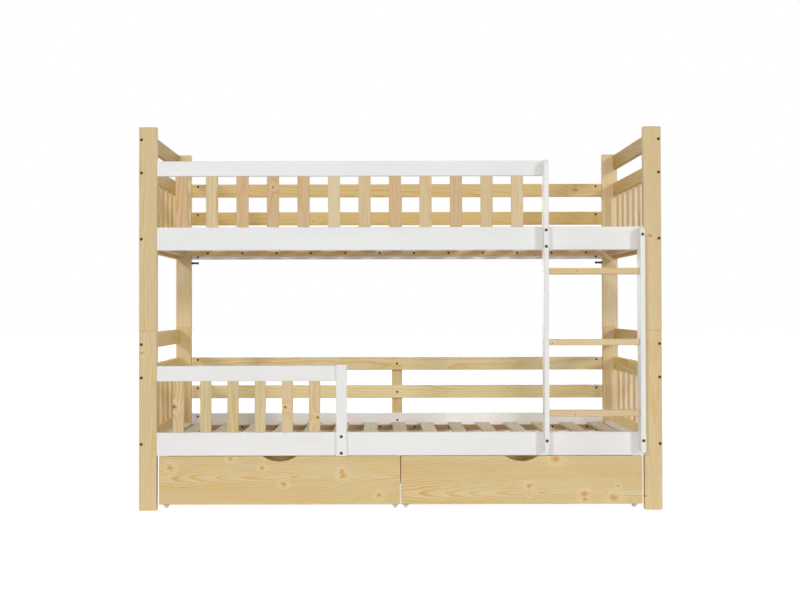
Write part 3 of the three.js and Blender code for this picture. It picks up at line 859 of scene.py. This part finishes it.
def drawer_box(side):
    """Two sides, a back between them, and a thin floor."""
    name = f"{side}_drawer_box"
    low, high = size_of(name)
    parts = [
        board(f"{name}_left", "y", low, [low[0] + BOX_BOARD, high[1], high[2]], BOX_PINE),
        board(f"{name}_right", "y", [high[0] - BOX_BOARD, low[1], low[2]], high, BOX_PINE),
    ]
    back_low = [low[0] + BOX_BOARD - EDGE, high[1] - BOX_BOARD - RIM, low[2]]
    back_high = [high[0] - BOX_BOARD + EDGE, high[1] - RIM, high[2]]
    parts.append(board(f"{name}_back", "x", back_low, back_high, BOX_PINE, rim=BOX_RIM))
    floor_low = [low[0] + FLOOR_INSET, low[1], low[2] + FLOOR_RISE]
    floor_high = [high[0] - FLOOR_INSET, high[1] - FLOOR_INSET, low[2] + FLOOR_RISE + FLOOR_THICKNESS]
    parts.append(board(f"{name}_floor", "x", floor_low, floor_high, BOX_PINE, FLOOR_EDGE, BOX_RIM))
    return piece(f"{name}_boards", parts, pine_boards, name, body=f"{side}_drawer", slot="drawer_pine")


for side in SIDES:
    drawer_box(side)
    for corner in CORNERS:
        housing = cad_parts[f"{side}_drawer_{corner}_caster"]
        housing.data.materials.clear()
        housing.data.materials.append(plastic)
print("drawer boxes", len(SIDES), "caster housings", len(SIDES) * len(CORNERS))

# %% [markdown]
# ## Caster wheels
# A wheel is a profile turned round its axle: a tread with rounded shoulders, a sunk web and a hub. Turning
# the profile as one grid of angle and profile point gives the whole wheel at once.

# %% Turned shapes
def turned(profile, centre, along, segments):
    """A profile of (radius, height) pairs turned round an axis: radius times cosine and sine, plus height
    along the axis. The profile closes on itself when its first and last points are the same."""
    profile = np.array(profile)
    turn = np.linspace(0, 2 * np.pi, segments, endpoint=False)
    points = in_space(along, profile[:, :1] * np.cos(turn), profile[:, :1] * np.sin(turn), profile[:, 1:])
    faces = tube_faces(len(profile), segments, closed=True)
    return {"points": points.reshape(-1, 3) + np.array(centre), "faces": faces}


BORE, HUB, HUB_DRAFT, WEB_SHARE = 0.0026, 0.0056, 0.0006, 0.45
TREAD, TREAD_FOOT, SHOULDER = 0.004, 0.0045, 0.0016


def wheel(side, corner):
    """A caster wheel with a sunk web on both faces."""
    name = f"{side}_drawer_{corner}_wheel"
    low, high = size_of(name)
    radius, half = (high[2] - low[2]) / 2, (high[0] - low[0]) / 2
    web = half * WEB_SHARE
    hub = [(BORE, half), (HUB, half), (HUB + HUB_DRAFT, web)]
    tread = [(radius - TREAD_FOOT, web), (radius - TREAD, half)]
    rim = arc((radius - SHOULDER, half - SHOULDER), SHOULDER, 90, 0, steps=3)[:, :2].tolist()
    half_profile = hub + tread + rim
    profile = [(r, -h) for r, h in half_profile] + half_profile[::-1]
    part = turned(profile, (low + high) / 2, "x", segments=40)
    return piece(f"{name}_turned", [part], plastic, name, body=name, slot="white_plastic")


for side in SIDES:
    for corner in CORNERS:
        wheel(side, corner)
print("wheels", len(SIDES) * len(CORNERS))

# %% [markdown]
# ## Bolts and barrel nuts
# The bed is held by bolts with flat socket heads. Each bolt ends in a barrel nut, a short pin that shows as
# a dark disc on the inner face of the board it holds. Both are rings of points joined by faces. The socket of
# a head is a hexagon: its radius at an angle is the flat's distance over the cosine of the angle to that flat.

# %% Fasteners
HEAD_RADIUS, HEAD_HEIGHT, SOCKET_SHARE = 0.0062, 0.0007, 0.45
DISC_HEIGHT, DISC_CHAMFER = 0.0005, 0.0006
SUNK_DEPTH = 0.002
NEARLY_NOUGHT = 0.00001
SEGMENTS = 24


def socket_head(centre, along, way):
    """A flat head with a hexagonal socket. way is 1 or -1, the direction in which it faces."""
    turn = np.linspace(0, 2 * np.pi, SEGMENTS, endpoint=False)
    flat = SOCKET_SHARE * HEAD_RADIUS
    hexagon = flat / np.cos((turn % (np.pi / 3)) - np.pi / 6)
    whole = np.full(SEGMENTS, HEAD_RADIUS)
    reach = [whole, whole, 0.9 * whole, hexagon, 0.98 * hexagon, np.full(SEGMENTS, 0.001 * flat)]
    height = [-SUNK_DEPTH, *(HEAD_HEIGHT * np.array([0.5, 1.0, 1.0, 0.15, 0.15]))]
    rows, heights = np.array(reach), np.array(height)[:, None]
    points = in_space(along, rows * np.cos(turn), rows * np.sin(turn) * way, heights * way)
    faces = tube_faces(len(height), SEGMENTS)
    return {"points": points.reshape(-1, 3) + np.array(centre), "faces": faces}


def disc(centre, along, way, radius, height=DISC_HEIGHT):
    """The end of a barrel nut or the head of a screw: a thin disc with a chamfered rim, facing one way."""
    profile = [
        (NEARLY_NOUGHT, -SUNK_DEPTH), (radius, -SUNK_DEPTH), (radius, height * 0.4),
        (radius - DISC_CHAMFER, height), (NEARLY_NOUGHT, height),
    ]
    return turned([(r, h * way) for r, h in profile[::way]], centre, along, segments=16)


# %% [markdown]
# ## Where the bolts are
# On the front and back of each corner, bolts run through the post into the ends of the end rails. On the
# outer side of each corner, bolts run through the post into the long rails, with their barrel nuts about
# three centimetres in from the post. The heights repeat from the lower tier to the upper one.

# %% Bolt places
TIER_RISE = size_of("upper_front_bed_rail")[0][2] - size_of("lower_front_bed_rail")[0][2]
END_BOLT_X = 1.0195
END_BOLT_HEIGHTS = (0.2603, 0.5215, 0.6525)
BED_BOLT_HEIGHTS = (0.226, 0.291)
GUARD_BOLT_HEIGHTS = (0.423, 0.5545)
NUT_X, NUT_RADIUS = 0.929, 0.005
RAIL_THICKNESS = 0.022
front_face = size_of("lower_front_left_post")[0][1]
back_face = size_of("lower_back_left_post")[1][1]
outer_face = size_of("lower_front_right_post")[1][0] - FLUSH

heads = []
nuts = []
for rise in (0.0, TIER_RISE):
    for sign in SIDES.values():
        for face, way in ((front_face, -1), (back_face, 1)):
            for z in END_BOLT_HEIGHTS:
                heads.append(socket_head((sign * END_BOLT_X, face, z + rise), "y", way))
            rail_middle, rail_inner = face - way * RAIL_THICKNESS / 2, face - way * RAIL_THICKNESS
            for z in BED_BOLT_HEIGHTS + (GUARD_BOLT_HEIGHTS if way > 0 else ()):
                heads.append(socket_head((sign * outer_face, rail_middle, z + rise), "x", sign))
                nuts.append(disc((sign * NUT_X, rail_inner, z + rise), "y", -way, NUT_RADIUS))
print("corner bolts", len(heads), "barrel nuts", len(nuts))

# %% Bolts of the ladder, the guards and the battens
LADDER_BOLTS = ((0.567, 1.097), (0.567, 1.033), (0.567, 0.278), (0.9415, 1.08), (0.9415, 0.278))
GUARD_POST_X, GUARD_POST_BOLT_HEIGHTS = -0.233, (0.2914, 0.2269)
BATTEN_BOLT_HEIGHTS = (0.5356, 0.4038, 0.273)
GUARD_END_BOLT_DEPTH, GUARD_END_BOLT_HEIGHT = 0.01, 0.5375
NUT_INSET = 0.028
stile_front = size_of("ladder_left_stile")[0][1] + FLUSH
batten_back = size_of("lower_back_batten")[1][1] - FLUSH
guard_post_front = size_of("lower_guard_end_post")[0][1]
guard_end_y = front_face + GUARD_END_BOLT_DEPTH
for x, z in LADDER_BOLTS:
    heads.append(socket_head((x, stile_front, z), "y", -1))
for z in GUARD_POST_BOLT_HEIGHTS:
    heads.append(socket_head((GUARD_POST_X, guard_post_front, z), "y", -1))
for rise in (0.0, TIER_RISE):
    for z in BATTEN_BOLT_HEIGHTS:
        heads.append(socket_head((0.0, batten_back, z + rise), "y", 1))
        nuts.append(disc((0.0, back_face - RAIL_THICKNESS, z + rise), "y", -1, NUT_RADIUS))
    heads.append(socket_head((-outer_face, guard_end_y, GUARD_END_BOLT_HEIGHT + rise), "x", -1))

end_inner = size_of("lower_right_end_panel")[0][0]
post_inner_front = size_of("lower_front_left_post")[1][1]
post_inner_back = size_of("lower_back_left_post")[0][1]
for rise in (0.0, TIER_RISE):
    for sign in SIDES.values():
        for z in END_BOLT_HEIGHTS:
            for y in (post_inner_front + NUT_INSET, post_inner_back - NUT_INSET):
                nuts.append(disc((sign * end_inner, y, z + rise), "x", -sign, NUT_RADIUS))
piece("bolt_heads", heads, bronze)
piece("barrel_nuts", nuts, sunk)
print("all bolts", len(heads), "all nuts", len(nuts))

# %% [markdown]
# ## Screws and the two spare bolts
# The slats' cleats are screwed to the bed rails, the painted end slats to their cleats, and the ladder's left
# stile to its rungs. A bolt with a long sleeve nut sticks out of the inner side of each upper back post.

# %% Screws
SCREW_HEIGHT = 0.0003
CLEAT_SCREW_RADIUS, SLAT_SCREW_RADIUS, RUNG_SCREW_RADIUS = 0.005, 0.003, 0.0042
CLEAT_SCREW_Z, CLEAT_SCREW_STEP, CLEAT_SCREW_END = 0.2435, 0.16, 0.9
SLAT_SCREW_Z, SLAT_SCREW_INSET, SLAT_SCREW_DEPTHS = 0.264, 0.009, (-0.374, -0.117, 0.14, 0.396)

screws = []
cleat_front = size_of("lower_slat_base")[1][1] - CLEAT_THICKNESS
end_slat_edge = size_of("lower_right_end_slat")[0][0]
for rise in (0.0, TIER_RISE):
    for x in np.arange(CLEAT_SCREW_STEP / 2, CLEAT_SCREW_END, CLEAT_SCREW_STEP):
        for sign in SIDES.values():
            place = (sign * x, cleat_front, CLEAT_SCREW_Z + rise)
            screws.append(disc(place, "y", -1, CLEAT_SCREW_RADIUS, SCREW_HEIGHT))
    for y in SLAT_SCREW_DEPTHS:
        for sign in SIDES.values():
            place = (sign * (end_slat_edge + SLAT_SCREW_INSET), y, SLAT_SCREW_Z + rise)
            screws.append(disc(place, "z", 1, SLAT_SCREW_RADIUS, SCREW_HEIGHT))
for name in RUNGS:
    low, high = size_of(name)
    place = (stile_face, (low[1] + high[1]) / 2, (low[2] + high[2]) / 2)
    screws.append(disc(place, "x", -1, RUNG_SCREW_RADIUS, SCREW_HEIGHT))
piece("screws", screws, sunk)
print("screws", len(screws))

# %% Spare bolts
SLEEVE = [
    (0.0001, 0.0), (0.0044, 0.0), (0.0055, 0.0014), (0.0055, 0.009), (0.0044, 0.0104),
    (0.0034, 0.0116), (0.0034, 0.0142), (0.005, 0.015), (0.005, 0.0345), (0.0001, 0.0345),
]
SPARE_PLACE = (0.9255, 0.5, 1.0055)
spares = []
for sign in SIDES.values():
    profile = [(r, h * sign) for r, h in SLEEVE[::sign]]
    spares.append(turned(profile, (sign * SPARE_PLACE[0], *SPARE_PLACE[1:]), "x", segments=20))
piece("spare_bolts", spares, bronze)
print("spare bolts", len(spares))

# %% [markdown]
# ## Floor, light and background
# The bed stands on a white floor in a white room. The floor is brighter to the camera than to the bed, so it
# reads as white and still shows the bed's shadow. Two distant lamps, in front to the right and to the left,
# give the ladder its soft shadows on the rails. Five more, from the front, the sides, the top and the back,
# stand for the light that white walls send back, and the sky fills in the rest.

# %% Floor
FLOOR_REACH = 40.0
FLOOR_GLOW = 0.7


def looked_at(tree):
    """One for rays that only look, straight or by a reflection, and nought for rays that light the bed."""
    rays = node(tree, "ShaderNodeLightPath")
    seen = calc(tree, "MAXIMUM", rays.outputs["Is Camera Ray"], rays.outputs["Is Glossy Ray"])
    return calc(tree, "MAXIMUM", seen, rays.outputs["Is Transmission Ray"])


# Pale grey that takes shadows, with a glow that only the camera and reflections see.
floor_material, tree, shader = new_material("floor")
shader.inputs["Base Color"].default_value = (0.9, 0.9, 0.9, 1.0)
shader.inputs["Roughness"].default_value = 1.0
shader.inputs["Specular IOR Level"].default_value = 0.0
shader.inputs["Emission Color"].default_value = (1.0, 1.0, 1.0, 1.0)
join(tree, times(tree, looked_at(tree), FLOOR_GLOW), shader.inputs["Emission Strength"])

floor_corners = np.array([(-1, -1, 0), (1, -1, 0), (1, 1, 0), (-1, 1, 0)]) * FLOOR_REACH
floor_mesh = bpy.data.meshes.new("floor")
floor_mesh.from_pydata(floor_corners, [], [(0, 1, 2, 3)])
floor_mesh.materials.append(floor_material)
floor = new_object("floor", floor_mesh)
print("floor", 2 * FLOOR_REACH, "m wide")

# %% World
SKY_STRENGTH = 0.17
world = bpy.data.worlds.new("room")
world.use_nodes = True
bpy.context.scene.world = world
sky = world.node_tree
background = sky.nodes["Background"]
background.inputs["Color"].default_value = (1.0, 1.0, 1.0, 1.0)
join(sky, smooth(sky, looked_at(sky), 0.0, 1.0, SKY_STRENGTH, 1.0), background.inputs["Strength"])
print("sky strength", SKY_STRENGTH)

# %% Lamps
def far_lamp(name, aside, down, width, share, casts=True):
    """A distant lamp, turned aside from straight in front and raised, both in degrees, that shines down at
    the bed. Its share is its strength over pi. One that casts no shadow stands for light from all round."""
    data = bpy.data.lights.new(name, "SUN")
    data.angle = math.radians(width)
    data.energy = share * math.pi
    data.use_shadow = casts
    turn = math.radians(aside)
    place = Vector((math.sin(turn), -math.cos(turn), math.tan(math.radians(down))))
    towards_bed = Vector((0.0, 0.0, 0.0)) - place
    lamp = new_object(name, data)
    lamp.matrix_world = Matrix.Translation(place) @ towards_bed.to_track_quat("-Z", "Y").to_matrix().to_4x4()
    return lamp


far_lamp("right_key", 22.0, 12.1, 8.0, 0.268)
far_lamp("left_key", -20.0, 15.1, 6.0, 0.243)
far_lamp("front_fill", 0.0, 2.0, 30.0, 0.08, casts=False)
far_lamp("top_fill", 0.0, 80.0, 30.0, 0.15, casts=False)
far_lamp("right_fill", 80.0, 3.0, 30.0, 0.29)
far_lamp("left_fill", -80.0, 3.0, 30.0, 0.29)
far_lamp("back_fill", 180.0, 2.0, 30.0, 0.22, casts=False)
print("lamps", len(bpy.data.lights))
